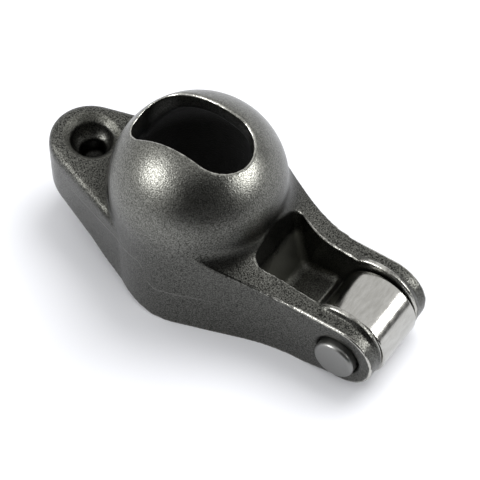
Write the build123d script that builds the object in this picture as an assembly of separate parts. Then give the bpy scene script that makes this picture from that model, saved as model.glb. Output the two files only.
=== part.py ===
from build123d import *
import math
import os

# Roller-tipped, ball-pivot rocker arm: an investment-cast body, a ground roller and its pin.
# Millimetres, +Z up. The origin is the centre of the pivot ball. +X runs to the roller,
# -X to the pushrod cup. The arm lies on its open rim, with the dome and its stud slot up.

# ---- Driving dimensions ------------------------------------------------------------------

# Pivot bowl
SEAT_RADIUS = 13.0            # spherical seat of the pivot ball
BOWL_WALL = 3.0               # metal between the seat and the dome
RIM_DEPTH = 22.4              # ball centre down to the flat rim the arm rests on
STUD_TILT = 5.7               # degrees that the stud's axis leans towards the roller
BOWL_DRAFT = 1.0              # degrees that the open bowl widens towards the rim

# Slot in the dome for the stud
SLOT_WIDTH = 12.3
SLOT_TO_CUP = 12.7            # stud axis to the slot's square end, on the cup side
SLOT_TO_ROLLER = 9.2          # stud axis to the slot's round end, on the roller side
SLOT_CORNER = 4.2             # corner radius of the square end
SLOT_EDGE = 0.4               # broken edge round the slot, outside

# Arm lengths
CUP_ARM = 23.25               # ball centre to pushrod cup, along X
ROLLER_ARM = 35.25            # ball centre to roller axis, along X

# Pushrod cup
CUP_PLANE_DROP = 3.25         # nose deck below the ball centre, at the cup
CUP_BALL_RADIUS = 3.97        # pushrod ball
CUP_BALL_DROP = 0.45          # centre of the pushrod ball below the nose deck
CUP_LEAD_IN = 1.15            # depth of the conical lead-in
CUP_MOUTH_RADIUS = 5.3        # lead-in where it meets the nose deck
CUP_LEAN = 2.5                # degrees that the pushrod leans towards the cup's end, going up
RELIEF_RADIUS = 2.35          # oil pocket at the bottom of the cup
RELIEF_DEPTH = 6.4            # its floor below the nose deck
RELIEF_POINT_ANGLE = 31.0     # degrees, slope of the drill point at its floor
OIL_HOLE_RADIUS = 0.8

# Plan outline
NOSE_RADIUS = 8.0             # rounded end round the cup
NOSE_SHOULDER = 0.3           # how far inside the bowl's wall the nose's flanks aim
FLARE_ANGLE = 18.0            # degrees at which the bowl's sides run in towards the fork
FORK_HALF_WIDTH = 9.55
WAIST_RADIUS = 38.0           # hollow curve between the flare and the straight fork
SIDE_DRAFT = 1.5              # degrees that the outside narrows towards the rim
RIM_RISE_ANGLE = 15.1         # degrees at which the rim climbs from the bowl to the nose
RIM_BLEND = 24.0              # radius where the rim starts to climb

# Rails and pocket
RAIL_DROP = 7.35              # rail tops below the ball centre
SADDLE_LENGTH = 13.0          # run of the hollow sweep from the dome down to the rails
POCKET_HALF_WIDTH = 5.7
POCKET_GAP = 0.1              # between the dome's equator and the pocket's upright wall
POCKET_KNEE_DROP = 7.7        # where the end wall starts to slope, below the ball centre
POCKET_SLOPE = 16.0           # degrees that the end wall leans back below the knee
FLOOR_DROP = 16.7             # pocket floor below the ball centre, at the end wall
FLOOR_SLOPE = 11.0            # degrees that the floor climbs towards the roller
POCKET_CORNER = 1.6
POCKET_FLARE_X = 24.5         # where the pocket's sides start to flare, towards the dome
POCKET_FLARE_RADIUS = 20.0
WEB_THICKNESS = 3.0           # metal under the pocket floor

# Fork
ROLLER_DROP = 14.95           # roller axis below the ball centre
EAR_RADIUS = 7.0
EAR_FOOT_ANGLE = 10.0         # degrees at which the ear's underside meets the rim
GUIDE_RADIUS = 8.2            # thin guide rims beside the roller
GUIDE_THICKNESS = 1.1
GUIDE_SET_BACK = 1.0          # guide rim centre from the roller axis, towards the ball
GUIDE_LIFT = 0.75             # guide rim centre above the roller axis
GUIDE_EDGE = 0.25             # broken edges of the guide rims
WEB_CLEARANCE = 1.45          # between the roller and the end of the web

# Roller and pin
ROLLER_RADIUS = 7.4
ROLLER_WIDTH = 10.5
ROLLER_SIDE_CLEARANCE = 0.25
ROLLER_EDGE = 0.35
PIN_RADIUS = 3.97
PIN_RUNNING_CLEARANCE = 0.03  # radial, roller on pin
PIN_STAND_OUT = 1.55          # pin end beyond the ear
PIN_EDGE = 0.8
PIN_HOLE_CHAMFER = 0.55

# Underside
TROUGH_WALL = 4.2             # side walls beside the hollow of the nose
WALL = 3.0                    # metal at the web's end, beyond its hollow
RECESS_STEP = 0.7             # how much narrower the web's hollow is than the pocket, each side
NOSE_DECK = 8.2               # metal under the nose deck
RECESS_CORNER = 2.0

# Casting edges
NOSE_EDGE = 1.6
JOINT_FILLET = 1.3            # where the nose deck runs into the dome
EAR_SET_BACK = 0.15           # end of the ear from the guide rim's end

# ---- Derived sizes -----------------------------------------------------------------------

DOME_RADIUS = SEAT_RADIUS + BOWL_WALL
RIM_Z = -RIM_DEPTH
RAIL_Z = -RAIL_DROP
ROLLER_Z = -ROLLER_DROP
CUP_Z = -CUP_PLANE_DROP
GUIDE_X = ROLLER_ARM - GUIDE_SET_BACK
GUIDE_Z = ROLLER_Z + GUIDE_LIFT
GUIDE_FACE = ROLLER_WIDTH / 2 + ROLLER_SIDE_CLEARANCE
EAR_Z = RAIL_Z - EAR_RADIUS
EAR_X = GUIDE_X + GUIDE_RADIUS - EAR_SET_BACK - EAR_RADIUS
TIP_X = GUIDE_X + GUIDE_RADIUS
NOSE_LEAN = math.degrees(math.asin((DOME_RADIUS - NOSE_SHOULDER - NOSE_RADIUS) / CUP_ARM))
REACH = 2 * (TIP_X + CUP_ARM)  # longer than the arm, for cutting tools
TOOL_DEPTH = 1.2 * RIM_DEPTH   # cutting tools run past the rim
FINE = 0.01                   # tolerance for finding edges and faces
STUD_PLANE = Plane.XY.rotated((0, STUD_TILT, 0))


def arc_on_circle(centre, radius, start, end):
    """Arc about a centre, from one angle to another in degrees, as three points make it."""
    angles = (start, (start + end) / 2, end)
    points = [
        (centre[0] + radius * math.cos(math.radians(a)), centre[1] + radius * math.sin(math.radians(a)))
        for a in angles
    ]
    return ThreePointArc(*points)


def plan_outline():
    """Outline seen from above: nose circle, bowl circle and fork, joined by tangents."""
    flare = math.radians(FLARE_ANGLE)
    shoulder = Vector(DOME_RADIUS * math.sin(flare), DOME_RADIUS * math.cos(flare))
    crossing_x = shoulder.X + (shoulder.Y - FORK_HALF_WIDTH) / math.tan(flare)
    trim = WAIST_RADIUS * math.tan(flare / 2)
    waist_start = Vector(crossing_x - trim * math.cos(flare), FORK_HALF_WIDTH + trim * math.sin(flare))
    waist_end = Vector(crossing_x + trim, FORK_HALF_WIDTH)
    waist_mid = Vector(
        waist_end.X - WAIST_RADIUS * math.sin(flare / 2),
        FORK_HALF_WIDTH + WAIST_RADIUS * (1 - math.cos(flare / 2)),
    )
    tip = Vector(TIP_X + EAR_RADIUS, FORK_HALF_WIDTH)
    nose_side = arc_on_circle((-CUP_ARM, 0), NOSE_RADIUS, 180, 90 + NOSE_LEAN)
    meeting = NOSE_LEAN + math.degrees(math.acos((DOME_RADIUS - NOSE_SHOULDER) / DOME_RADIUS))
    bowl_side = arc_on_circle((0, 0), DOME_RADIUS, 90 + meeting, 90 - FLARE_ANGLE)
    upper = Curve() + [
        nose_side,
        Line(nose_side @ 1, bowl_side @ 0),
        bowl_side,
        Line(shoulder, waist_start),
        ThreePointArc(waist_start, waist_mid, waist_end),
        Line(waist_end, tip),
    ]
    end = Line(tip, Vector(tip.X, -tip.Y))
    return make_face(upper.edges() + mirror(upper, about=Plane.XZ).edges() + [end])


def side_block():
    """Everything inside the side view: rim line below, ear round the pin at the tip."""
    climb = math.tan(math.radians(RIM_RISE_ANGLE))
    blend = RIM_BLEND * math.tan(math.radians(RIM_RISE_ANGLE / 2))
    nose_end = -CUP_ARM - 2 * NOSE_RADIUS
    rim_blend = Spline(
        (-blend * math.cos(math.radians(RIM_RISE_ANGLE)), RIM_Z + blend * math.sin(math.radians(RIM_RISE_ANGLE))),
        (blend, RIM_Z),
        tangents=((1, -climb), (1, 0)),
    )
    ear_arc = arc_on_circle((EAR_X, EAR_Z), EAR_RADIUS, -90 - EAR_FOOT_ANGLE, 90)
    ear_start = ear_arc @ 0
    foot = Vector(ear_start.X - (ear_start.Y - RIM_Z) / math.tan(math.radians(EAR_FOOT_ANGLE)), RIM_Z)
    top = 2 * DOME_RADIUS
    lines = [
        Line((nose_end, top), (nose_end, RIM_Z - nose_end * climb)),
        Line((nose_end, RIM_Z - nose_end * climb), rim_blend @ 0),
        rim_blend,
        Line(rim_blend @ 1, foot),
        Line(foot, ear_start),
        ear_arc,
        Line(ear_arc @ 1, (EAR_X, top)),
        Line((EAR_X, top), (nose_end, top)),
    ]
    return extrude(Plane.XZ * make_face(lines), amount=REACH, both=True)


def above_rails():
    """Space over the rails: a hollow sweep of revolution from the dome's equator to flat."""
    saddle = EllipticalCenterArc(
        (DOME_RADIUS + SADDLE_LENGTH, 0), SADDLE_LENGTH, RAIL_DROP, start_angle=180, arc_size=90
    )
    outer = REACH
    lines = [
        saddle,
        Line(saddle @ 1, (outer, RAIL_Z)),
        Line((outer, RAIL_Z), (outer, DOME_RADIUS)),
        Line((outer, DOME_RADIUS), (DOME_RADIUS, DOME_RADIUS)),
        Line((DOME_RADIUS, DOME_RADIUS), (DOME_RADIUS, 0)),
    ]
    ring = revolve(Plane.XZ * make_face(lines), Axis.Z)
    return ring & Pos(REACH / 2, 0, 0) * Box(REACH, 2 * REACH, 2 * REACH)


def deck_plane(depth=0.0):
    """Plane of the nose deck, square to the stud's axis, or one that deep below it."""
    return Plane((-CUP_ARM, 0, CUP_Z)).rotated((0, STUD_TILT, 0)).offset(-depth)


def half_space(plane):
    """Block that fills everything above a plane, within reach."""
    return plane * Pos(0, 0, REACH / 2) * Box(2 * REACH, 2 * REACH, REACH)


def bowl_core(sides):
    """Dome over the pivot ball, and the round wall that carries it down to the rim."""
    foot = DOME_RADIUS - RIM_DEPTH * math.tan(math.radians(SIDE_DRAFT))
    half = DOME_RADIUS * math.sqrt(0.5)
    profile = make_face([
        ThreePointArc((0, DOME_RADIUS), (half, half), (DOME_RADIUS, 0)),
        Line((DOME_RADIUS, 0), (foot, RIM_Z)),
        Line((foot, RIM_Z), (0, RIM_Z)),
        Line((0, RIM_Z), (0, DOME_RADIUS)),
    ])
    return revolve(Plane.XZ * profile, Axis.Z) & sides


def on_deck(face):
    """Whether a face is the flat top of the nose."""
    plane = deck_plane()
    return face.geom_type == GeomType.PLANE and abs((face.center() - plane.origin).dot(plane.z_dir)) < FINE


def outer_form():
    """Outside of the casting before any hollow is cut."""
    sides = side_block()
    over_nose = half_space(deck_plane()) & Pos(-REACH / 2, 0, 0) * Box(REACH, REACH, REACH)
    arm = extrude(plan_outline(), amount=-RIM_DEPTH, taper=SIDE_DRAFT) & sides
    arm -= [above_rails(), over_nose]
    nose_rim = arm.faces().filter_by(on_deck).edges().filter_by(lambda edge: edge.center().X < -JOINT_FILLET)
    body = fillet(nose_rim, NOSE_EDGE) + bowl_core(sides)
    joint = body.faces().filter_by(on_deck).edges().sort_by(Axis.X)[-1]
    return fillet(joint, JOINT_FILLET)


def open_bowl():
    """Ball seat and the round space under it, open to the rim."""
    mouth = SEAT_RADIUS + TOOL_DEPTH * math.tan(math.radians(BOWL_DRAFT))
    half = SEAT_RADIUS * math.sqrt(0.5)
    profile = make_face([
        ThreePointArc((0, SEAT_RADIUS), (half, half), (SEAT_RADIUS, 0)),
        Line((SEAT_RADIUS, 0), (mouth, -TOOL_DEPTH)),
        Line((mouth, -TOOL_DEPTH), (0, -TOOL_DEPTH)),
        Line((0, -TOOL_DEPTH), (0, SEAT_RADIUS)),
    ])
    return revolve(Plane.XZ * profile, Axis.Z)


def nose_trough():
    """Hollow under the nose deck, inside its walls, running into the bowl."""
    end = arc_on_circle((-CUP_ARM, 0), NOSE_RADIUS - TROUGH_WALL, 180, 90 + NOSE_LEAN)
    inner_x = -SEAT_RADIUS / 3
    inner = Vector(inner_x, (end @ 1).Y + (inner_x - (end @ 1).X) * math.tan(math.radians(NOSE_LEAN)))
    side = Curve() + [end, Line(end @ 1, inner)]
    outline = side.edges() + mirror(side, about=Plane.XZ).edges() + [Line(inner, (inner.X, -inner.Y))]
    space = extrude(make_face(outline), amount=-TOOL_DEPTH) - half_space(deck_plane(NOSE_DECK))
    roof = space.faces().sort_by(Axis.Z)[-1]
    return chamfer(roof.edges().filter_by(lambda edge: edge.center().X < inner_x - WALL), RECESS_CORNER / 2)


def pocket_profile():
    """Side view of the pocket's end wall and floor: knee, foot of the wall, floor's far end."""
    wall_x = DOME_RADIUS + POCKET_GAP
    foot_x = wall_x + (FLOOR_DROP - POCKET_KNEE_DROP) * math.tan(math.radians(POCKET_SLOPE))
    far_z = -FLOOR_DROP + (ROLLER_ARM - foot_x) * math.tan(math.radians(FLOOR_SLOPE))
    return Vector(wall_x, -POCKET_KNEE_DROP), Vector(foot_x, -FLOOR_DROP), Vector(ROLLER_ARM, far_z)


def pocket_plan(end_x):
    """Plan of the pocket: straight between the rails, with sides that flare towards the dome."""
    wall_x = DOME_RADIUS + POCKET_GAP
    swing = math.degrees(math.asin((POCKET_FLARE_X - wall_x) / POCKET_FLARE_RADIUS))
    flare = arc_on_circle(
        (POCKET_FLARE_X, POCKET_HALF_WIDTH + POCKET_FLARE_RADIUS), POCKET_FLARE_RADIUS, -90, -90 - swing
    )
    side = Line((end_x, POCKET_HALF_WIDTH), flare @ 0)
    end_wall = Line(flare @ 1, (wall_x, -(flare @ 1).Y))
    lines = [side, flare, end_wall, mirror(flare, Plane.XZ), mirror(side, Plane.XZ)]
    return make_face(lines + [Line((end_x, POCKET_HALF_WIDTH), (end_x, -POCKET_HALF_WIDTH))])


def pocket():
    """Space between the rails, over the web: upright wall, leaning wall, then the floor."""
    knee, foot, far = pocket_profile()
    end_x = TIP_X + GUIDE_RADIUS
    profile = Polyline(
        (knee.X, DOME_RADIUS),
        knee,
        foot,
        far,
        (end_x, far.Y),
        (end_x, DOME_RADIUS),
        close=True,
    )
    space = extrude(Plane.XZ * make_face(profile), amount=DOME_RADIUS, both=True)
    space &= extrude(pocket_plan(end_x), amount=2 * RIM_DEPTH, both=True)
    beside = space.edges().filter_by(lambda edge: abs(edge.center().Y) > POCKET_HALF_WIDTH / 2)
    wall_edges = beside.filter_by(lambda edge: edge.center().X < foot.X)
    floor_edges = space.faces().filter_by(lambda face: face.center().Z < knee.Y and face.normal_at().Z < 0).edges()
    inner_edges = floor_edges.filter_by(lambda edge: edge.center().X < ROLLER_ARM)
    return fillet(ShapeList(set(wall_edges + inner_edges)), POCKET_CORNER)


def web_recess():
    """Hollow under the web, between the rails, running into the bowl."""
    foot = pocket_profile()[1]
    length = ROLLER_ARM - ROLLER_RADIUS - WEB_CLEARANCE - WALL
    block = Pos(length / 2, 0, 0) * Box(length, 2 * (POCKET_HALF_WIDTH - RECESS_STEP), 4 * RIM_DEPTH)
    roof = Plane((foot.X, 0, foot.Y - WEB_THICKNESS)).rotated((0, -FLOOR_SLOPE, 0))
    space = block - half_space(roof)
    return fillet(space.edges().filter_by(Axis.Z).filter_by(lambda edge: edge.center().X > WALL), RECESS_CORNER)


def fork_gap():
    """Room for the roller between the ears, hollowed round it where the web ends."""
    gap_width = 2 * POCKET_HALF_WIDTH
    far_x = TIP_X + GUIDE_RADIUS
    round_end = across(ROLLER_ARM, ROLLER_Z, ROLLER_RADIUS + WEB_CLEARANCE, gap_width)
    length = far_x - ROLLER_ARM
    return round_end + Pos(ROLLER_ARM + length / 2, 0, 0) * Box(length, gap_width, 4 * RIM_DEPTH)


def across(x, z, radius, length):
    """Cylinder with its axis along Y, centred on the arm."""
    return Pos(x, 0, z) * Rot(90, 0, 0) * Cylinder(radius, length)


def guide_rims():
    """Thin round rims inside the ears, which keep the roller and the valve's tip in line."""
    outer_face = GUIDE_FACE + GUIDE_THICKNESS
    disc = across(GUIDE_X, GUIDE_Z, GUIDE_RADIUS, 2 * outer_face)
    rims = disc - across(GUIDE_X, GUIDE_Z, 2 * GUIDE_RADIUS, 2 * GUIDE_FACE)
    rims = chamfer(rims.edges().filter_by(GeomType.CIRCLE), GUIDE_EDGE)
    return rims & half_space(Plane((0, 0, RIM_Z)))


def stud_slot():
    """Long slot through the dome along the stud: square end by the cup, round by the roller."""
    half = SLOT_WIDTH / 2
    flat = Vector(-SLOT_TO_CUP + SLOT_CORNER, half)
    bevel = SLOT_CORNER * math.sqrt(0.5)
    corner_mid = Vector(flat.X - bevel, half - SLOT_CORNER + bevel)
    end_centre = SLOT_TO_ROLLER - half
    side = Curve() + [
        ThreePointArc((-SLOT_TO_CUP, half - SLOT_CORNER), corner_mid, flat),
        Line(flat, (end_centre, half)),
        arc_on_circle((end_centre, 0), half, 90, 0),
    ]
    square_end = Line((-SLOT_TO_CUP, half - SLOT_CORNER), (-SLOT_TO_CUP, SLOT_CORNER - half))
    outline = make_face(side.edges() + mirror(side, about=Plane.XZ).edges() + [square_end])
    return extrude(STUD_PLANE * outline, amount=2 * DOME_RADIUS)


def pushrod_cup():
    """Cup for the pushrod's ball: lead-in, spherical seat, and the oil pocket that leans with the pushrod."""
    rim = math.sqrt(CUP_BALL_RADIUS**2 - (CUP_LEAD_IN - CUP_BALL_DROP) ** 2)
    lead_in = Cone(rim, 2 * CUP_MOUTH_RADIUS - rim, 2 * CUP_LEAD_IN)
    floor = RELIEF_DEPTH - CUP_BALL_DROP
    point = floor + (RELIEF_RADIUS - OIL_HOLE_RADIUS) * math.tan(math.radians(RELIEF_POINT_ANGLE))
    through = 2 * NOSE_DECK
    drill = Polyline(
        (0, 0),
        (RELIEF_RADIUS, 0),
        (RELIEF_RADIUS, -floor),
        (OIL_HOLE_RADIUS, -point),
        (OIL_HOLE_RADIUS, -through),
        (0, -through),
        close=True,
    )
    oil_way = Rot(0, -STUD_TILT - CUP_LEAN, 0) * revolve(Plane.XZ * make_face(drill), Axis.Z)
    return deck_plane() * (lead_in + Pos(0, 0, -CUP_BALL_DROP) * (Sphere(CUP_BALL_RADIUS) + oil_way))


def pin_holes():
    """Bore through both ears, with a chamfer at each outer face."""
    face = FORK_HALF_WIDTH - (ROLLER_DROP - PIN_RADIUS) * math.tan(math.radians(SIDE_DRAFT))
    flare = PIN_HOLE_CHAMFER + FORK_HALF_WIDTH - face
    holes = across(ROLLER_ARM, ROLLER_Z, PIN_RADIUS, REACH)
    for side in (-1, 1):
        cone = Cone(PIN_RADIUS, PIN_RADIUS + 2 * flare, 2 * flare)
        holes += Pos(ROLLER_ARM, side * face, ROLLER_Z) * Rot(-90 * side, 0, 0) * cone
    return holes


def round_slot(edge):
    """Whether an edge lies where the stud slot breaks through the dome's outside."""
    on_dome = all(abs((edge @ t).length - DOME_RADIUS) < FINE for t in (0, 0.5, 1))
    along = STUD_PLANE.to_local_coords(edge.center()).X
    return on_dome and -SLOT_TO_CUP - FINE < along < SLOT_TO_ROLLER + FINE


def rocker_body():
    """The casting: outer form, hollows, guide rims, slot, cup and pin holes."""
    body = outer_form()
    for hollow in (open_bowl(), nose_trough(), pocket(), web_recess(), fork_gap()):
        body -= hollow
    body += guide_rims()
    for hole in (stud_slot(), pushrod_cup(), pin_holes()):
        body -= hole
    return chamfer(body.edges().filter_by(round_slot), SLOT_EDGE)


def roller():
    """Ground roller with a plain bore that runs on the pin."""
    bore = PIN_RADIUS + PIN_RUNNING_CLEARANCE
    shell = across(ROLLER_ARM, ROLLER_Z, ROLLER_RADIUS, ROLLER_WIDTH)
    shell = chamfer(shell.edges().filter_by(GeomType.CIRCLE), ROLLER_EDGE)
    return shell - across(ROLLER_ARM, ROLLER_Z, bore, 2 * ROLLER_WIDTH)


def roller_pin():
    """Pin through both ears, with broken ends that stand out."""
    face = FORK_HALF_WIDTH - ROLLER_DROP * math.tan(math.radians(SIDE_DRAFT))
    pin = across(ROLLER_ARM, ROLLER_Z, PIN_RADIUS, 2 * (face + PIN_STAND_OUT))
    return chamfer(pin.edges().filter_by(GeomType.CIRCLE), PIN_EDGE)


if __name__ == "__main__":
    os.makedirs("parts", exist_ok=True)
    nodes = {"rocker_body": rocker_body(), "tip_roller": roller(), "roller_pin": roller_pin()}
    for name, solid in nodes.items():
        export_step(solid, f"parts/{name}.step")
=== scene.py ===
"""Roller-tipped rocker arm: a tumbled steel casting, a ground roller and its turned pin.

Everything is in metres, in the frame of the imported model: the origin is the centre of the
pivot ball, +X runs to the roller, +Y along its pin, and +Z out through the stud slot.
"""
import logging
import math
from dataclasses import dataclass, field
from enum import Enum

import bmesh
import bpy
import numpy as np
from mathutils import Matrix, Vector


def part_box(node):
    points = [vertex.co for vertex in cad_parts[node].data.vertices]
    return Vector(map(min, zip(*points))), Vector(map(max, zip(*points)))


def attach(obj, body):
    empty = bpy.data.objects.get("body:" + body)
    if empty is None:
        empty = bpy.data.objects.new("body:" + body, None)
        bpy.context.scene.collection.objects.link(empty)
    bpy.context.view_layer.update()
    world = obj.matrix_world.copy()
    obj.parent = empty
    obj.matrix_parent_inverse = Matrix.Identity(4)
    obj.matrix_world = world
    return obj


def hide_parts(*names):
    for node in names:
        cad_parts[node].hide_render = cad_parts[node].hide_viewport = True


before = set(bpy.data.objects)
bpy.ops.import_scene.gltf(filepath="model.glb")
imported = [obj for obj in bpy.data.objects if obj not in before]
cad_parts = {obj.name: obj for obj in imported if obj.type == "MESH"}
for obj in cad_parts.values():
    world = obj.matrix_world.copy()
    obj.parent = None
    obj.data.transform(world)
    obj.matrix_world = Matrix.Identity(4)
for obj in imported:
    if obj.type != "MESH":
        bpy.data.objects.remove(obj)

LOG = logging.getLogger("rocker_arm")
MM = 0.001
Tree = bpy.types.NodeTree
Node = bpy.types.Node
Socket = bpy.types.NodeSocket
Paint = str | Socket  # hex digits or a node's output
Mesh = bpy.types.Mesh
Thing = bpy.types.Object


# ---- Nodes and meshes ----------------------------------------------------------------


def linear(hex_colour: str) -> tuple[float, float, float, float]:
    """Turns an sRGB hex colour into linear light.

    Args:
        hex_colour: six hex digits, such as "8a8a86".

    Returns:
        Linear red, green, blue and an alpha of 1.
    """
    steps = [int(hex_colour[i : i + 2], 16) / 255 for i in (0, 2, 4)]
    light = [v / 12.92 if v <= 0.04045 else ((v + 0.055) / 1.055) ** 2.4 for v in steps]
    return (*light, 1.0)


def add_node(
    tree: Tree, kind: str, settings: dict | None = None, inputs: dict | None = None
) -> Node:
    """Adds one shader node, sets its properties, and fills or links its sockets.

    Args:
        tree: the node tree that gets the node.
        kind: the node's Blender type name.
        settings: property names and values.
        inputs: socket names or numbers, each with a value or another node's output.

    Returns:
        The new node.
    """
    node = tree.nodes.new(kind)
    for name, value in (settings or {}).items():
        setattr(node, name, value)
    for name, value in (inputs or {}).items():
        if isinstance(value, Socket):
            tree.links.new(value, node.inputs[name])
        else:
            node.inputs[name].default_value = value
    return node


def per_metre(size_mm: float) -> float:
    """Texture scale whose features are about this many millimetres across."""
    return 1 / (size_mm * MM)


def layered(tree: Tree, base: Paint, layers: tuple[tuple[Socket, Paint], ...]) -> Socket:
    """Lays colours over a base, one after another, each by its own share.

    Formula: colour becomes colour + share * (layer - colour), layer by layer.

    Args:
        tree: the material's tree.
        base: the lowest colour.
        layers: pairs of a share and a colour, the lowest first.

    Returns:
        The output that holds the finished colour.
    """
    colour = linear(base) if isinstance(base, str) else base
    for share, layer in layers:
        over = linear(layer) if isinstance(layer, str) else layer
        inputs = {0: share, 6: colour, 7: over}
        colour = add_node(tree, "ShaderNodeMix", {"data_type": "RGBA"}, inputs).outputs[2]
    return colour


def add_object(name: str, data: bpy.types.ID) -> Thing:
    """Adds an object with this data at the origin and links it to the scene."""
    thing = bpy.data.objects.new(name, data)
    bpy.context.scene.collection.objects.link(thing)
    return thing


def mesh_piece(name: str, points: np.ndarray, faces: np.ndarray) -> Thing:
    """Makes a smooth-shaded mesh object at the origin.

    Args:
        name: the piece's name.
        points: vertex places, one row each, in metres.
        faces: vertex numbers of each face, one row of four each.

    Returns:
        The new object, linked to the scene.
    """
    mesh = bpy.data.meshes.new(name)
    mesh.from_pydata(points.tolist(), [], faces.tolist())
    mesh.validate()
    mesh.shade_smooth()
    return add_object(name, mesh)


def vertex_array(mesh: Mesh, name: str = "co") -> np.ndarray:
    """Vertex places, or normals, of a mesh as an array of rows of three."""
    values = np.empty(len(mesh.vertices) * 3)
    mesh.vertices.foreach_get(name, values)
    return values.reshape(-1, 3)


def edge_array(mesh: Mesh) -> np.ndarray:
    """Vertex numbers at the two ends of each edge, one row each."""
    ends = np.empty(len(mesh.edges) * 2, dtype=np.int32)
    mesh.edges.foreach_get("vertices", ends)
    return ends.reshape(-1, 2)


def smoothed(points: np.ndarray, edges: np.ndarray, factor: float, passes: int) -> np.ndarray:
    """Moves each point towards the mean of its neighbours.

    Formula: p becomes p + factor * (mean of the points joined to p by an edge - p), passes times.

    Args:
        points: vertex places, one row each.
        edges: vertex numbers at each edge's ends.
        factor: share of the way to the mean, in each pass.
        passes: number of passes.

    Returns:
        The moved points.
    """
    count = len(points)
    starts, ends = edges[:, 0], edges[:, 1]
    degree = np.bincount(starts, minlength=count) + np.bincount(ends, minlength=count)
    result = points.copy()
    for _ in range(passes):
        mean = np.empty_like(result)
        for axis in range(result.shape[1]):
            column = result[:, axis]
            total = np.bincount(starts, weights=column[ends], minlength=count)
            total += np.bincount(ends, weights=column[starts], minlength=count)
            mean[:, axis] = total / degree
        result += factor * (mean - result)
    return result


def set_attribute(mesh: Mesh, name: str, values: np.ndarray) -> None:
    """Stores one number for each vertex, for the material to read."""
    attribute = mesh.attributes.new(name, "FLOAT", "POINT")
    attribute.data.foreach_set("value", values.astype(np.float32))


def lathe(name: str, profile: np.ndarray, centre: Vector, turns: int) -> Thing:
    """Solid of revolution about Y.

    Formula: the profile point (r, y) at angle a goes to centre + (r cos a, y, r sin a), for a
    full turn of angles. The profile is a closed loop.

    Args:
        name: the piece's name.
        profile: rows of radius and height along Y, anticlockwise with r to the right.
        centre: a point on the axis.
        turns: number of steps round the circle.

    Returns:
        The new object.
    """
    angles = np.linspace(0, 2 * math.pi, turns, endpoint=False)
    radius, along = profile[:, 0], profile[:, 1]
    x = np.outer(np.cos(angles), radius)
    y = np.broadcast_to(along, x.shape)
    z = np.outer(np.sin(angles), radius)
    points = np.stack([x, y, z], axis=-1).reshape(-1, 3) + np.array(centre)
    count = len(profile)
    ring, step = np.meshgrid(np.arange(turns), np.arange(count), indexing="ij")
    after, beside = (ring + 1) % turns, (step + 1) % count
    here, there = ring * count, after * count
    faces = np.stack([here + step, here + beside, there + beside, there + step], axis=-1)
    return mesh_piece(name, points, faces.reshape(-1, 4))


def corner(
    centre: tuple[float, float], radius: float, start: float, end: float, steps: int
) -> np.ndarray:
    """Points of an arc in a profile.

    Formula: centre + radius * (cos a, sin a), for angles a from start to end.

    Args:
        centre: the arc's centre, as radius from the axis and height.
        radius: the arc's own radius.
        start: its first angle, in degrees.
        end: its last angle, in degrees.
        steps: number of points.

    Returns:
        The points, one row each.
    """
    angles = np.radians(np.linspace(start, end, steps))
    return np.array(centre) + radius * np.stack([np.cos(angles), np.sin(angles)], axis=-1)


@dataclass(frozen=True)
class Ramp:
    """A share that runs from 0 to 1 over a stretch of some measure."""

    start: float
    stretch: float

    def rise(self, measure: np.ndarray) -> np.ndarray:
        """Share that grows with the measure: (measure - start) / stretch, from 0 to 1."""
        return np.clip((measure - self.start) / self.stretch, 0, 1)

    def fall(self, measure: np.ndarray) -> np.ndarray:
        """Share that grows as the measure sinks: (start - measure) / stretch, from 0 to 1."""
        return np.clip((self.start - measure) / self.stretch, 0, 1)


# ---- Finishes ------------------------------------------------------------------------


class Surface(Enum):
    """Names for the surfaces of the three pieces, which nothing in the script uses."""

    CASTING = "casting"
    ROLLER = "roller"
    PIN = "pin"


@dataclass(frozen=True)
class Finish:
    """A metal finish: its name, its colour and its roughness."""

    name: str
    colour: str
    roughness: float

    def start(self) -> tuple[bpy.types.Material, Tree, Socket]:
        """Makes an empty material.

        Returns:
            The material, its tree, and the output that holds a point's place on its piece.
        """
        material = bpy.data.materials.new(self.name)
        material.use_nodes = True
        tree = material.node_tree
        tree.nodes.clear()
        return material, tree, add_node(tree, "ShaderNodeTexCoord").outputs["Object"]

    def cover(self, tree: Tree, inputs: dict) -> None:
        """Ends the tree with a metal shader that has these inputs."""
        metal = add_node(tree, "ShaderNodeBsdfPrincipled", inputs=inputs)
        add_node(tree, "ShaderNodeOutputMaterial", inputs={"Surface": metal.outputs["BSDF"]})


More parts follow.
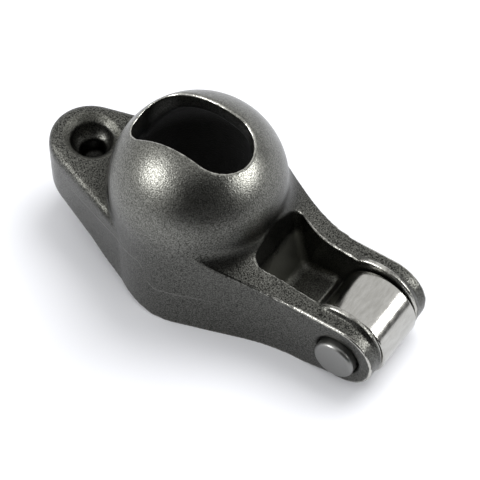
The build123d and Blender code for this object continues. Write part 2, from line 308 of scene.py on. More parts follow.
@dataclass(frozen=True)
class TumbledSteel(Finish):
    """Investment-cast steel, shot blasted and tumbled.

    The eye gets a dark grey metal speckled light and dark, with a fine grain that breaks each
    highlight into sparkles, coarser on faces that look up. Edges are burnished bright by the
    tumbling stones, and the dome is lighter and evener, more so higher up. Shade is painted
    darker inside the bowl and the oil pocket and in the creases where the nose and the rails
    meet the dome, light is painted as a pale, part matt skin on the pocket's end wall and the
    cup's lead-in, and a faint ridge shows where the wax die parted.
    """

    # Colours: the crests' is the finish's own, and the pits' is the dark one, which also paints
    # the shade in the creases where the nose and the rails meet the dome.
    dark_colour: str = "272724"
    coarse_colour: str = "70706b"
    coarse_dark: str = "10100f"
    # The dome's colours, which it takes on more the higher up it is.
    upper_dome_colour: str = "7e7e79"
    upper_dome_dark: str = "4a4a46"
    edge_colour: str = "b6b5af"
    # Painted light: a pale colour on the pocket's end wall and the cup's lead-in.
    painted_light_colour: str = "9a9a90"
    # Painted shade: the near-black colour inside the bowl and the oil pocket.
    inner_shade_colour: str = "1d1d1b"
    # A blasted skin's grain is nearer 0.1 mm across: speckle and grain are as coarse as they need
    # to show.
    speckle_mm: float = 0.25
    speckle_range: tuple[float, float] = (0.36, 0.64)
    grain_mm: float = 0.28
    grain_depth_mm: float = 0.05
    coarse_depth_mm: float = 0.09
    # Grit is the marks of single stones. It also bites into the worn edges.
    grit_mm: float = 0.95
    grit_share: float = 0.35
    grit_bite: float = 0.9
    worn_range: tuple[float, float] = (0.85, 1.5)
    # Gloss drifts in clouds. Burnished edges are glossier, the coarse skin is duller, and where
    # light is painted as a pale patch the skin is less of a metal.
    cloud_mm: float = 7.0
    cloud_range: tuple[float, float] = (0.3, 0.7)
    gloss_drift: float = 0.04
    burnishing: float = 0.1
    coarse_dulling: float = 0.12
    matt_share: float = 0.15
    seam_depth_mm: float = 0.06
    seam_shine: float = 0.13
    octaves: float = 2.0
    grit_octaves: float = 3.0
    octave_gain: float = 0.6

    def seam(self, tree: Tree) -> Socket:
        """Draws the parting ridge.

        Formula: share * max(1 - (height above the seam / its half width)^2, 0).

        Args:
            tree: the material's tree.

        Returns:
            The output that holds the ridge's height, from 0 to 1.
        """
        above, share = (
            add_node(tree, "ShaderNodeAttribute", {"attribute_name": name}).outputs["Fac"]
            for name in ("above_seam", "seam_share")
        )
        square = add_node(
            tree, "ShaderNodeMath", {"operation": "MULTIPLY"}, {0: above, 1: above}
        )
        arch = add_node(
            tree, "ShaderNodeMath", {"operation": "SUBTRACT", "use_clamp": True},
            {0: 1.0, 1: square.outputs[0]},
        )
        ridge = add_node(
            tree, "ShaderNodeMath", {"operation": "MULTIPLY"}, {0: arch.outputs[0], 1: share}
        )
        return ridge.outputs[0]

    def bright_edges(self, tree: Tree, grit: Socket) -> Socket:
        """Shows the burnished edges, broken up by the grit.

        Formula: a smooth step over the worn range, of wear - bite * (grit - 1/2).

        Args:
            tree: the material's tree.
            grit: the grit's pattern.

        Returns:
            The output that holds how bright the steel is burnished, from 0 to 1.
        """
        wear = add_node(tree, "ShaderNodeAttribute", {"attribute_name": "edge_wear"})
        broken = add_node(
            tree, "ShaderNodeMath", {"operation": "MULTIPLY_ADD"},
            {0: grit, 1: -self.grit_bite, 2: self.grit_bite / 2},
        )
        worn = add_node(
            tree, "ShaderNodeMath", {"operation": "ADD"},
            {0: wear.outputs["Fac"], 1: broken.outputs[0]},
        )
        bright = add_node(
            tree, "ShaderNodeMapRange", {"interpolation_type": "SMOOTHSTEP"},
            {"Value": worn.outputs[0], "From Min": self.worn_range[0],
             "From Max": self.worn_range[1]},
        )
        return bright.outputs[0]

    def relief(
        self, tree: Tree, grain: Socket, grit: Socket, coarse: Socket, seam: Socket
    ) -> Socket:
        """Raises the grain, the grit and the parting ridge.

        Formula: height is grain + share * grit, over a depth that grows from the grain's to the
        coarse skin's, on top of the ridge.

        Args:
            tree: the material's tree.
            grain: the grain's pattern.
            grit: the grit's pattern.
            coarse: how coarse the skin is, from 0 to 1.
            seam: the ridge's height, from 0 to 1.

        Returns:
            The output that holds the surface's normal.
        """
        depth = add_node(
            tree, "ShaderNodeMapRange", {},
            {"Value": coarse, "To Min": self.grain_depth_mm * MM,
             "To Max": self.coarse_depth_mm * MM},
        )
        height = add_node(
            tree, "ShaderNodeMath", {"operation": "MULTIPLY_ADD"},
            {0: grit, 1: self.grit_share, 2: grain},
        )
        ridge = add_node(
            tree, "ShaderNodeBump", {},
            {"Strength": 1.0, "Distance": self.seam_depth_mm * MM, "Height": seam},
        )
        bump = add_node(
            tree, "ShaderNodeBump", {},
            {"Strength": 1.0, "Distance": depth.outputs[0], "Height": height.outputs[0],
             "Normal": ridge.outputs["Normal"]},
        )
        return bump.outputs["Normal"]

    def material(self) -> bpy.types.Material:
        """Builds the material.

        Returns:
            The finished material.
        """
        material, tree, where = self.start()
        grain, grit, cloud, fleck = (
            add_node(
                tree, "ShaderNodeTexNoise",
                inputs={"Vector": where, "Scale": per_metre(size_mm), "Detail": octaves,
                        "Roughness": self.octave_gain},
            ).outputs["Fac"]
            for size_mm, octaves in (
                (self.grain_mm, self.octaves), (self.grit_mm, self.grit_octaves),
                (self.cloud_mm, self.octaves), (self.speckle_mm, self.octaves),
            )
        )
        # The inner and crease shares are painted shade, the pale patch's share is painted light,
        # and the dome's share grows with height.
        coarse, painted_inner_shade, dome_upper_share, painted_light_patch, painted_crease_shade = (
            add_node(tree, "ShaderNodeAttribute", {"attribute_name": name}).outputs["Fac"]
            for name in ("coarse", "painted_inner_shade", "dome_upper_share", "painted_light_patch", "painted_crease_shade")
        )
        seam = self.seam(tree)
        bright = self.bright_edges(tree, grit)
        speckle = add_node(
            tree, "ShaderNodeMapRange", {},
            {"Value": fleck, "From Min": self.speckle_range[0], "From Max": self.speckle_range[1]},
        )
        scraped = add_node(
            tree, "ShaderNodeMath", {"operation": "MULTIPLY_ADD", "use_clamp": True},
            {0: seam, 1: self.seam_shine, 2: bright},
        )
        light = layered(
            tree, self.colour, ((coarse, self.coarse_colour), (dome_upper_share, self.upper_dome_colour))
        )
        dark = layered(
            tree, self.dark_colour, ((coarse, self.coarse_dark), (dome_upper_share, self.upper_dome_dark))
        )
        # Over the speckle go painted shade in the creases, the burnished edges and ridge, a pale
        # patch of painted light, and painted shade inside.
        colour = layered(tree, dark, (
            (speckle.outputs[0], light),
            (painted_crease_shade, self.dark_colour),
            (scraped.outputs[0], self.edge_colour),
            (painted_light_patch, self.painted_light_colour),
            (painted_inner_shade, self.inner_shade_colour),
        ))
        gloss = add_node(
            tree, "ShaderNodeMapRange", {},
            {"Value": cloud, "From Min": self.cloud_range[0], "From Max": self.cloud_range[1],
             "To Min": self.roughness - self.gloss_drift,
             "To Max": self.roughness + self.gloss_drift},
        )
        shine = add_node(
            tree, "ShaderNodeMath", {"operation": "MULTIPLY_ADD"},
            {0: bright, 1: -self.burnishing, 2: gloss.outputs[0]},
        )
        dulled = add_node(
            tree, "ShaderNodeMath", {"operation": "MULTIPLY_ADD"},
            {0: coarse, 1: self.coarse_dulling, 2: shine.outputs[0]},
        )
        # Where light is painted pale, the skin is also part matt.
        metallic = add_node(
            tree, "ShaderNodeMath", {"operation": "MULTIPLY_ADD"},
            {0: painted_light_patch, 1: -self.matt_share, 2: 1.0},
        )
        self.cover(tree, {
            "Base Color": colour, "Metallic": metallic.outputs[0], "Roughness": dulled.outputs[0],
            "Normal": self.relief(tree, grain, grit, coarse, seam),
        })
        return material


@dataclass(frozen=True)
class GroundSteel(Finish):
    """Hardened steel, ground and polished round its axis.

    The eye gets a bright barrel whose reflections run in bands along its length, with fine
    grinding lines round it, an uneven gloss, and faint darker stains drawn out along it.
    """

    # Grinding lines are nearer 0.02 mm apart: they are as coarse as they need to show.
    line_mm: float = 0.12
    line_run_mm: float = 9.0
    line_depth_mm: float = 0.0012
    line_strength: float = 0.6
    mottle_mm: float = 1.6
    mottle_range: tuple[float, float] = (0.3, 0.7)
    glossier: float = 0.03
    duller: float = 0.05
    stain_colour: str = "a3a29d"
    stain_mm: float = 0.7
    stain_run_mm: float = 2.6
    stain_range: tuple[float, float] = (0.35, 0.65)
    stain_octaves: float = 5.0
    stain_gain: float = 0.7
    octaves: float = 2.0

    def material(self) -> bpy.types.Material:
        """Builds the material.

        Returns:
            The finished material.
        """
        material, tree, where = self.start()
        lines, patch = (
            add_node(
                tree, "ShaderNodeMapping", {},
                {"Vector": where,
                 "Scale": tuple(per_metre(size) for size in (across, along, across))},
            ).outputs[0]
            for across, along in (
                (self.line_run_mm, self.line_mm), (self.stain_mm, self.stain_run_mm)
            )
        )
        grind = add_node(
            tree, "ShaderNodeTexNoise",
            inputs={"Vector": lines, "Scale": 1.0, "Detail": self.octaves},
        )
        mottle = add_node(
            tree, "ShaderNodeTexNoise",
            inputs={"Vector": where, "Scale": per_metre(self.mottle_mm), "Detail": self.octaves},
        )
        gloss = add_node(
            tree, "ShaderNodeMapRange", {},
            {"Value": mottle.outputs["Fac"], "From Min": self.mottle_range[0],
             "From Max": self.mottle_range[1], "To Min": self.roughness - self.glossier,
             "To Max": self.roughness + self.duller},
        )
        bump = add_node(
            tree, "ShaderNodeBump", {},
            {"Strength": self.line_strength, "Distance": self.line_depth_mm * MM,
             "Height": grind.outputs["Fac"]},
        )
        stain = add_node(
            tree, "ShaderNodeTexNoise",
            inputs={"Vector": patch, "Scale": 1.0, "Detail": self.stain_octaves,
                    "Roughness": self.stain_gain},
        )
        share = add_node(
            tree, "ShaderNodeMapRange", {},
            {"Value": stain.outputs["Fac"], "From Min": self.stain_range[0],
             "From Max": self.stain_range[1]},
        )
        self.cover(tree, {
            "Base Color": layered(tree, self.colour, ((share.outputs[0], self.stain_colour),)),
            "Metallic": 1.0, "Roughness": gloss.outputs[0], "Normal": bump.outputs["Normal"],
        })
        return material


@dataclass(frozen=True)
class TurnedSteel(Finish):
    """Hardened pin steel, parted off and lightly tumbled.

    The eye gets a dull mid-grey end with a soft grain.
    """

    # Tumbling marks are nearer 0.1 mm across: they are as coarse as they need to show.
    grain_mm: float = 0.3
    grain_depth_mm: float = 0.006
    grain_strength: float = 0.6
    grain_range: tuple[float, float] = (0.3, 0.7)
    octaves: float = 3.0
    glossier: float = 0.05
    duller: float = 0.06

    def material(self) -> bpy.types.Material:
        """Builds the material.

        Returns:
            The finished material.
        """
        material, tree, where = self.start()
        grain = add_node(
            tree, "ShaderNodeTexNoise",
            inputs={"Vector": where, "Scale": per_metre(self.grain_mm), "Detail": self.octaves},
        )
        gloss = add_node(
            tree, "ShaderNodeMapRange", {},
            {"Value": grain.outputs["Fac"], "From Min": self.grain_range[0],
             "From Max": self.grain_range[1], "To Min": self.roughness - self.glossier,
             "To Max": self.roughness + self.duller},
        )
        bump = add_node(
            tree, "ShaderNodeBump", {},
            {"Strength": self.grain_strength, "Distance": self.grain_depth_mm * MM,
             "Height": grain.outputs["Fac"]},
        )
        self.cover(tree, {
            "Base Color": linear(self.colour), "Metallic": 1.0, "Roughness": gloss.outputs[0],
            "Normal": bump.outputs["Normal"],
        })
        return material


# ---- The arm's pieces ----------------------------------------------------------------


@dataclass
class Casting:
    """The cast body: the solid's own form, with every edge softened as a tumbled casting's is.

    Lengths are in millimetres, and facings are parts of a normal of length 1.
    """

    # The skin and its softening.
    weld_mm: float = 0.001
    voxel_mm: float = 0.27
    triangles: int = 190_000
    settle_in: float = 0.5
    settle_out: float = -0.52
    settle_passes: int = 4
    round_passes: int = 3
    nose_passes: int = 40
    inset_mm: float = 0.001
    # Worn edges.
    wear_spread: float = 0.6
    wear_passes: int = 14
    wear_depth_mm: float = 0.12
    # The bowl, by distance from the ball's centre, for the shade painted inside it, and the
    # dome's foot, by distance from its axis.
    bowl_wall: Ramp = Ramp(13.9, 0.6)
    dome_foot: Ramp = Ramp(16.6, 1.5)
    facing_up: Ramp = Ramp(0.6, 0.3)
    # The nose, its cup, and the oil pocket under the cup, by distance from the cup's axis. Light
    # is painted pale on the cup's lead-in, and shade dark down the oil pocket.
    nose_x: Ramp = Ramp(-13.0, 4.0)
    nose_facing_up: Ramp = Ramp(0.2, 0.4)
    nose_relief: float = 0.9
    cup_arm_mm: float = 23.25
    cup_margin: Ramp = Ramp(5.7, 1.2)
    cup_rim_mm: float = 5.6
    lead_in_mm: float = 5.3
    lead_in_z: Ramp = Ramp(-4.3, 0.2)
    lead_in_light_share: float = 0.16
    oil_pocket_mm: float = 3.2
    oil_pocket_z: Ramp = Ramp(-7.2, 1.0)
    oil_pocket_shade: float = 0.8
    # The parting line, seen from the side. Its reach keeps it off the bowl's inner wall.
    seam_half_mm: float = 0.3
    seam_xz_mm: tuple[tuple[float, float], ...] = (
        (-31.5, -8.4), (-7.0, -8.3), (-2.2, -8.0), (-1.2, -9.5), (-0.6, -12.2), (1.0, -13.8),
        (9.5, -12.9),
    )
    seam_start: Ramp = Ramp(-23.0, 6.0)
    seam_end: Ramp = Ramp(9.5, 2.0)
    seam_reach_mm: float = 14.3
    facing_aside: Ramp = Ramp(0.5, 0.2)
    # The dome's lighter skin, lighter higher up: its foot, and how much higher that lies on the
    # roller's side.
    dome_share_low_mm: float = -4.0
    dome_share_lift_mm: float = 5.0
    dome_share_height_mm: float = 8.0
    dome_share_x: Ramp = Ramp(4.0, 6.0)
    # The pocket between the rails, with light painted pale on its end wall and floor.
    pocket_start: Ramp = Ramp(15.0, 1.0)
    pocket_end: Ramp = Ramp(29.0, 1.0)
    pocket_half_mm: float = 7.2
    pocket_top: Ramp = Ramp(-8.3, 1.0)
    pocket_low_mm: float = -19.0
    pocket_facing: Ramp = Ramp(0.2, 1 / 1.5)
    floor_light_share: float = 0.1
    wall_light_share: float = 0.6
    # Painted shade in the creases where the nose and the rails join the dome.
    joint_foot: Ramp = Ramp(15.5, 6.0)
    joint_x: Ramp = Ramp(8.0, 4.0)
    joint_facing: Ramp = Ramp(-0.15, 0.5)
    joint_top: Ramp = Ramp(5.0, 4.0)
    joint_shade: float = 0.7
    finish: TumbledSteel = field(
        default_factory=lambda: TumbledSteel("tumbled_cast_steel", colour="646460", roughness=0.31)
    )

    def skin(self) -> Mesh:
        """Copies the solid's mesh, closes it and rebuilds it as even small facets.

        Returns:
            The rebuilt mesh.
        """
        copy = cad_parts["rocker_body"].data.copy()
        work = bmesh.new()
        work.from_mesh(copy)
        bmesh.ops.remove_doubles(work, verts=work.verts, dist=self.weld_mm * MM)
        work.to_mesh(copy)
        work.free()
        return self.modified(copy, "REMESH", {"mode": "VOXEL", "voxel_size": self.voxel_mm * MM})

    def modified(self, mesh: Mesh, kind: str, settings: dict) -> Mesh:
        """Puts a mesh through one modifier.

        Args:
            mesh: the mesh.
            kind: the modifier's type.
            settings: its property names and values.

        Returns:
            The modified mesh.
        """
        holder = add_object("skin", mesh)
        modifier = holder.modifiers.new(kind.lower(), kind)
        for name, value in settings.items():
            setattr(modifier, name, value)
        bpy.context.view_layer.update()
        evaluated = holder.evaluated_get(bpy.context.evaluated_depsgraph_get())
        result = bpy.data.meshes.new_from_object(evaluated)
        bpy.data.objects.remove(holder)
        return result

    def build(self) -> Thing:
        """Softens the skin, works out its wear, thins it and dresses it.

        Returns:
            The finished piece.
        """
        mesh = self.skin()
        edges = edge_array(mesh)
        points = self.softened(vertex_array(mesh), edges)
        mesh.vertices.foreach_set("co", points.ravel())
        mesh.update()
        for name, values in self.regions(mesh, points, edges).items():
            set_attribute(mesh, name, values)
        thinning = {"ratio": self.triangles / (2 * len(mesh.polygons))}
        mesh = self.modified(mesh, "DECIMATE", thinning)
        mesh.shade_smooth()
        piece = add_object("rocker_casting", mesh)
        mesh.materials.clear()
        mesh.materials.append(self.finish.material())
        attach(piece, "arm")
        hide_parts("rocker_body")
        LOG.info("%s: %d vertices", piece.name, len(mesh.vertices))
        return piece

    def softened(self, points: np.ndarray, edges: np.ndarray) -> np.ndarray:
        """Takes the voxels' steps out, rounds every edge, and the nose's edges further.

        Formulas: the settling passes smooth in and swell back out by nearly as much, so that
        flats stay; on the nose, which the stones reach most, p then becomes
        p + share * (smoothed p - p), with share rising to 1 along the nose, and 0 round the cup.
        Last, the points are held within the solid's own box, less the inset.

        Args:
            points: vertex places.
            edges: the mesh's edges.

        Returns:
            The moved points.
        """
        for _ in range(self.settle_passes):
            points = smoothed(points, edges, self.settle_in, 1)
            points = smoothed(points, edges, self.settle_out, 1)
        points = smoothed(points, edges, self.settle_in, self.round_passes)
        share = self.on_nose(points)[:, None]
        points = points + share * (
            smoothed(points, edges, self.settle_in, self.nose_passes) - points
        )
        low, high = (np.array(end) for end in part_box("rocker_body"))
        return np.clip(points, low + self.inset_mm * MM, high - self.inset_mm * MM)

    def from_cup(self, points: np.ndarray) -> np.ndarray:
        """Distance from the cup's axis, in millimetres."""
        x, y, _ = points.T / MM
        return np.hypot(x + self.cup_arm_mm, y)

    def on_nose(self, points: np.ndarray) -> np.ndarray:
        """Share that is 1 on the nose and 0 on the bowl and round the cup."""
        return self.nose_x.fall(points[:, 0] / MM) * self.cup_margin.rise(self.from_cup(points))

    def regions(
        self, mesh: Mesh, points: np.ndarray, edges: np.ndarray
    ) -> dict[str, np.ndarray]:
        """Works out where the stones wore the edges, where the skin is coarse, where the dome is
        lighter, and where shade and light are painted.

        Formulas: edge_wear is (point - smoothed point) . normal / wear depth, so about 1 on an
        outer edge and 0 on a flat, and a tenth of that on the nose; the inner share, painted
        shade, is 1 where the point lies nearer the ball's centre than the bowl's wall, and high
        down the oil pocket; coarse is 1 on faces that look up, outside the dome, and round the
        cup; the dome's share rises with height on the dome, and starts higher on its roller side;
        the pale patch's share, painted light, is 0.7 on the pocket's end wall, and low on its
        floor and the cup's lead-in; the crease share, painted shade, is up to 0.7 where the nose
        and the rails run into the dome; above_seam is the height over the parting line in half
        widths; seam_share is 1 on the upright walls that show it.

        Args:
            mesh: the skin, for its normals.
            points: its vertex places.
            edges: its edges.

        Returns:
            One array for each attribute's name.
        """
        normals = vertex_array(mesh, "normal")
        ahead, up = normals[:, 0], normals[:, 2]
        x, y, z = points.T / MM
        from_axis, from_cup = np.hypot(x, y), self.from_cup(points)
        reach = np.sqrt(x**2 + y**2 + np.maximum(z, 0) ** 2)
        on_nose, outside_dome = self.on_nose(points), self.dome_foot.rise(from_axis)

        around = smoothed(points, edges, self.wear_spread, self.wear_passes)
        wear = np.einsum("ij,ij->i", points - around, normals) / (self.wear_depth_mm * MM)
        wear = wear * (1 - self.nose_relief * on_nose)

        coarse = np.maximum.reduce([
            outside_dome * self.facing_up.rise(up),
            on_nose * self.nose_facing_up.rise(up),
            (from_cup < self.cup_rim_mm) * (z > self.lead_in_z.start),
        ])

        # Painted shade inside the bowl and down the oil pocket.
        in_oil_pocket = (from_cup < self.oil_pocket_mm) * self.oil_pocket_z.fall(z)
        painted_inner_shade = np.maximum(self.bowl_wall.fall(reach), self.oil_pocket_shade * in_oil_pocket)

        seam_x, seam_z = np.array(self.seam_xz_mm).T
        above_seam = (z - np.interp(x, seam_x, seam_z)) / self.seam_half_mm
        seam_share = self.facing_aside.fall(np.abs(up)) * self.seam_end.fall(x)
        seam_share = seam_share * self.seam_start.rise(x) * (reach > self.seam_reach_mm)

        # The dome grows lighter higher up, from a foot that lies higher on the roller's side.
        dome_share_from = self.dome_share_low_mm + self.dome_share_lift_mm * self.dome_share_x.rise(x)
        dome_upper_share = np.clip((z - dome_share_from) / self.dome_share_height_mm, 0, 1) * (1 - outside_dome)

        # Painted light: a pale, part matt patch on the pocket's end wall and floor, most where it
        # faces the roller, and on the cup's lead-in.
        in_pocket = self.pocket_start.rise(x) * self.pocket_end.fall(x) * self.pocket_top.fall(z)
        in_pocket = in_pocket * (np.abs(y) < self.pocket_half_mm) * (z > self.pocket_low_mm)
        pocket_light_share = self.floor_light_share + self.wall_light_share * self.pocket_facing.rise(ahead)
        lead_in = (from_cup < self.lead_in_mm) * self.lead_in_z.rise(z)
        painted_light_patch = np.maximum(in_pocket * pocket_light_share, self.lead_in_light_share * lead_in)

        # Painted shade in the creases where the nose and the rails run into the dome.
        painted_crease_shade = (1 - self.joint_foot.rise(from_axis)) * self.joint_x.rise(np.abs(x))
        painted_crease_shade = painted_crease_shade * self.joint_facing.rise(up) * self.joint_top.fall(z)
        return {
            "edge_wear": wear, "painted_inner_shade": painted_inner_shade, "coarse": coarse, "dome_upper_share": dome_upper_share,
            "painted_light_patch": painted_light_patch, "painted_crease_shade": self.joint_shade * painted_crease_shade,
            "above_seam": above_seam, "seam_share": seam_share,
        }


@dataclass
class TipRoller:
    """The ground roller that bears on the valve's stem."""

    edge_mm: float = 0.35
    bore_mm: float = 4.0
    barrel_inset: float = 1.4
    bore_steps: int = 5
    face_steps: int = 6
    edge_steps: int = 7
    barrel_steps: int = 9
    turns: int = 160
    finish: GroundSteel = field(
        default_factory=lambda: GroundSteel("ground_roller_steel", colour="b5b4b0", roughness=0.15)
    )

    def build(self) -> Thing:
        """Turns the roller and dresses it.

        Formula: the profile runs along the bore, out over one end, round a quarter circle, along
        the barrel, round the other quarter circle and back over the other end.

        Returns:
            The finished piece.
        """
        low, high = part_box("tip_roller")
        radius, half = (high.x - low.x) / 2, (high.y - low.y) / 2
        edge, bore = self.edge_mm * MM, self.bore_mm * MM
        rim, flank, barrel = radius - edge, half - edge, half - self.barrel_inset * edge
        lead = bore + edge / 2
        profile = np.concatenate([
            np.linspace([bore, -half + edge / 2], [bore, half - edge / 2], self.bore_steps)[::-1],
            np.linspace([lead, half], [rim, half], self.face_steps),
            corner((rim, flank), edge, 90, 0, self.edge_steps)[1:],
            np.linspace([radius, barrel], [radius, -barrel], self.barrel_steps),
            corner((rim, -flank), edge, 0, -90, self.edge_steps)[:-1],
            np.linspace([rim, -half], [lead, -half], self.face_steps),
        ])
        piece = lathe("ground_roller", profile[::-1], (low + high) / 2, self.turns)
        piece.data.materials.append(self.finish.material())
        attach(piece, "roller")
        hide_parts("tip_roller")
        LOG.info("%s: %d vertices", piece.name, len(piece.data.vertices))
        return piece


@dataclass
class RollerPin:
    """The pin pressed through both ears, with rounded ends."""

    edge_mm: float = 0.75
    crown_mm: float = 0.12
    inner_rings: tuple[float, float] = (0.002, 0.006)
    ring_start: float = 0.02
    ring_steps: int = 8
    edge_steps: int = 9
    turns: int = 96
    finish: TurnedSteel = field(
        default_factory=lambda: TurnedSteel("turned_pin_steel", colour="7d7d7b", roughness=0.34)
    )

    def build(self) -> Thing:
        """Turns the pin and dresses it.

        Formula: an end's height falls from the middle to the edge by crown * (share of the way
        out)^2, and a quarter circle then rounds the edge. The inner rings keep the shading even
        at the middle, and the closed profile leaves a hair-thin bore there.

        Returns:
            The finished piece.
        """
        low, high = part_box("roller_pin")
        radius, half = (high.x - low.x) / 2, (high.y - low.y) / 2
        edge, crown = self.edge_mm * MM, self.crown_mm * MM
        flat = radius - edge
        rings = np.linspace(self.ring_start, 1, self.ring_steps)
        across = np.concatenate([self.inner_rings, rings]) * flat
        end = np.stack([across, half - crown * (across / flat) ** 2], axis=-1)
        shoulder = corner((flat, half - crown - edge), edge, 90, 0, self.edge_steps)[1:]
        top = np.concatenate([end, shoulder])
        profile = np.concatenate([top, (top * [1, -1])[::-1]])
        piece = lathe("turned_pin", profile[::-1], (low + high) / 2, self.turns)
        piece.data.materials.append(self.finish.material())
        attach(piece, "arm")
        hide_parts("roller_pin")
        LOG.info("%s: %d vertices", piece.name, len(piece.data.vertices))
        return piece


# ---- Studio --------------------------------------------------------------------------


@dataclass
class Lamp:
    """One soft box: its direction and distance from the ball's centre, its size and strength.

    Angles are in degrees and lengths in metres. A lamp that isn't mirrored shows in no gloss,
    and one that isn't on the table lights no matt surface.
    """

    name: str
    azimuth: float
    elevation: float
    distance: float
    size: tuple[float, float]
    watts: float
    mirrored: bool = True
    on_table: bool = True

    def build(self) -> Thing:
        """Hangs the lamp, facing the arm.

        Returns:
            The lamp.
        """
        turn, lift = math.radians(self.azimuth), math.radians(self.elevation)
        level = math.cos(lift)
        way = Vector((level * math.cos(turn), level * math.sin(turn), math.sin(lift)))
        data = bpy.data.lights.new(self.name, "AREA")
        data.shape = "RECTANGLE"
        data.size, data.size_y = self.size
        data.energy = self.watts
        lamp = add_object(self.name, data)
        lamp.location = way * self.distance
        lamp.rotation_euler = way.to_track_quat("Z", "Y").to_euler()
        lamp.visible_glossy, lamp.visible_diffuse = self.mirrored, self.on_table
        return lamp


@dataclass
class Flag:
    """One black card on the table, seen only in the steel, which mirrors it as a dark band.

    Lengths are in metres. The apron is how far the card also lies along the table.
    """

    name: str
    azimuth: float
    distance: float
    width: float
    height: float
    apron: float = 0.0
    paper: str = "3c3c3c"

    def build(self, table_z: float) -> Thing:
        """Stands the card on the table, facing the arm, with its apron lying towards the arm.

        Args:
            table_z: the table top's height.

        Returns:
            The card.
        """
        turn = math.radians(self.azimuth)
        middle = np.array([math.cos(turn), math.sin(turn), 0]) * self.distance
        aside = np.array([-math.sin(turn), math.cos(turn), 0]) * self.width / 2
        foot, top = np.array([0, 0, table_z + MM]), np.array([0, 0, table_z + self.height])
        near = middle * (1 - self.apron / self.distance) + foot
        points = np.stack([
            near - aside, near + aside, middle + aside + foot, middle - aside + foot,
            middle - aside + top, middle + aside + top,
        ])
        card = mesh_piece(self.name, points, np.array([[0, 1, 2, 3], [3, 2, 5, 4]]))
        card.data.shade_flat()
        material = bpy.data.materials.new("black_card")
        material.use_nodes = True
        tree = material.node_tree
        tree.nodes.clear()
        paper = add_node(tree, "ShaderNodeBsdfDiffuse", inputs={"Color": linear(self.paper)})
        add_node(tree, "ShaderNodeOutputMaterial", inputs={"Surface": paper.outputs[0]})
        card.data.materials.append(material)
        card.visible_camera = card.visible_diffuse = card.visible_shadow = False
        return card


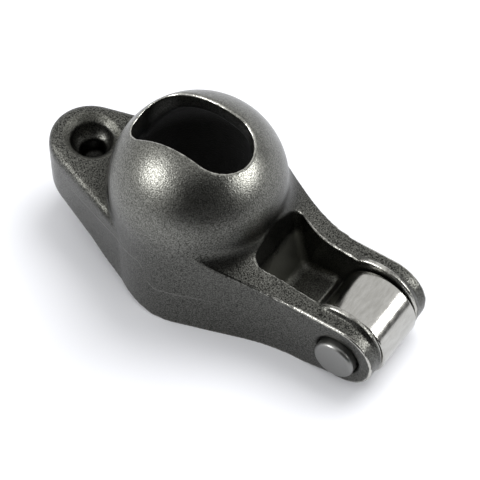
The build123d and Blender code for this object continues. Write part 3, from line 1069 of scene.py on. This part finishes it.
@dataclass
class Studio:
    """A pale table, a white surround, soft boxes, black cards and the camera."""

    floor_half_m: float = 3.0
    floor_colour: str = "e9eaee"
    floor_roughness: float = 0.9
    floor_specular: float = 0.1
    floor_lift: float = 0.05
    surround: float = 0.93
    focal_px: float = 3000.0
    frame_px: float = 480.0
    sensor_mm: float = 36.0
    azimuth: float = 34.02
    elevation: float = 52.005
    distance_mm: float = 527.76
    origin_px: tuple[float, float] = (198.5, 180.4)
    clip_m: tuple[float, float] = (0.01, 20.0)
    lamps: list[Lamp] = field(default_factory=lambda: [
        Lamp("right_soft_box", 24.0, 25.0, 1.2, (0.56, 0.36), 10.0, on_table=False),
        Lamp("left_soft_box", 231.0, 30.0, 1.2, (0.32, 0.32), 9.0, on_table=False),
        Lamp("key_soft_box", 76.0, 61.0, 1.3, (0.9, 0.9), 12.5, mirrored=False),
    ])
    flags: list[Flag] = field(default_factory=lambda: [
        Flag("near_black_card", -44.0, 1.0, 2.3, 1.9, apron=0.87),
        Flag("right_black_card", 37.0, 1.3, 1.6, 0.3),
    ])

    def build(self) -> None:
        """Sets the table, the surround, the lamps, the cards, the camera and the view."""
        table = self.floor()
        self.world()
        for lamp in self.lamps:
            lamp.build()
        for flag in self.flags:
            flag.build(table.data.vertices[0].co.z)
        self.camera()
        bpy.context.scene.view_settings.view_transform = "Standard"

    def floor(self) -> Thing:
        """Lays the table top, painted matt white, at the arm's lowest point.

        The eye gets a plain pale ground with soft shadows on it. It glows a little where it is
        seen or mirrored, and lights the arm as plain paint does.

        Returns:
            The table top.
        """
        low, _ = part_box("rocker_body")
        corners = np.array([[-1, -1], [1, -1], [1, 1], [-1, 1]]) * self.floor_half_m
        points = np.column_stack([corners, np.full(4, low.z)])
        floor = mesh_piece("table_top", points, np.array([[0, 1, 2, 3]]))
        material = bpy.data.materials.new("matt_white_table")
        material.use_nodes = True
        tree = material.node_tree
        tree.nodes.clear()
        rays = add_node(tree, "ShaderNodeLightPath")
        paint = add_node(
            tree, "ShaderNodeBsdfPrincipled",
            inputs={"Base Color": linear(self.floor_colour), "Roughness": self.floor_roughness,
                    "Specular IOR Level": self.floor_specular},
        )
        glow = add_node(
            tree, "ShaderNodeEmission", inputs={"Color": (1, 1, 1, 1), "Strength": self.floor_lift}
        )
        seen = add_node(
            tree, "ShaderNodeMath", {"operation": "ADD", "use_clamp": True},
            {0: rays.outputs["Is Camera Ray"], 1: rays.outputs["Is Glossy Ray"]},
        )
        both = add_node(
            tree, "ShaderNodeAddShader", inputs={0: paint.outputs[0], 1: glow.outputs[0]}
        )
        mix = add_node(
            tree, "ShaderNodeMixShader",
            inputs={0: seen.outputs[0], 1: paint.outputs[0], 2: both.outputs[0]},
        )
        add_node(tree, "ShaderNodeOutputMaterial", inputs={"Surface": mix.outputs[0]})
        floor.data.materials.append(material)
        return floor

    def world(self) -> None:
        """Makes the surround white where it is seen or mirrored, and dimmer as a light."""
        world = bpy.data.worlds.new("studio")
        bpy.context.scene.world = world
        world.use_nodes = True
        tree = world.node_tree
        tree.nodes.clear()
        rays = add_node(tree, "ShaderNodeLightPath")
        direct = add_node(
            tree, "ShaderNodeMath", {"operation": "ADD"},
            {0: rays.outputs["Is Camera Ray"], 1: rays.outputs["Is Glossy Ray"]},
        )
        seen = add_node(
            tree, "ShaderNodeMath", {"operation": "ADD", "use_clamp": True},
            {0: direct.outputs[0], 1: rays.outputs["Is Transmission Ray"]},
        )
        strength = add_node(
            tree, "ShaderNodeMapRange", {},
            {"Value": seen.outputs[0], "To Min": self.surround, "To Max": 1.0},
        )
        glow = add_node(
            tree, "ShaderNodeBackground",
            inputs={"Color": (1, 1, 1, 1), "Strength": strength.outputs[0]},
        )
        add_node(tree, "ShaderNodeOutputWorld", inputs={"Surface": glow.outputs[0]})

    def camera(self) -> Thing:
        """Stands the camera so that the ball's centre falls on its pixel.

        Returns:
            The camera.
        """
        turn, lift = math.radians(self.azimuth), math.radians(self.elevation)
        level = math.cos(lift)
        right = Vector((math.cos(turn), math.sin(turn), 0))
        back = Vector((math.sin(turn) * level, -math.cos(turn) * level, math.sin(lift)))
        up = back.cross(right)
        middle = self.frame_px / 2
        aside = (middle - self.origin_px[0]) * self.distance_mm / self.focal_px
        above = (self.origin_px[1] - middle) * self.distance_mm / self.focal_px
        place = (right * aside + up * above + back * self.distance_mm) * MM
        data = bpy.data.cameras.new("camera")
        data.sensor_width = self.sensor_mm
        data.lens = self.focal_px / self.frame_px * self.sensor_mm
        data.clip_start, data.clip_end = self.clip_m
        camera = add_object("camera", data)
        aim = Matrix((right, up, back)).transposed().to_4x4()
        camera.matrix_world = Matrix.Translation(place) @ aim
        bpy.context.scene.camera = camera
        return camera


def main() -> None:
    """Builds the pieces and the studio in order."""
    logging.basicConfig(level=logging.INFO, format="%(name)s %(message)s")
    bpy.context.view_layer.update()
    for part in (Casting(), TipRoller(), RollerPin()):
        part.build()
    Studio().build()


if __name__ == "__main__":
    main()
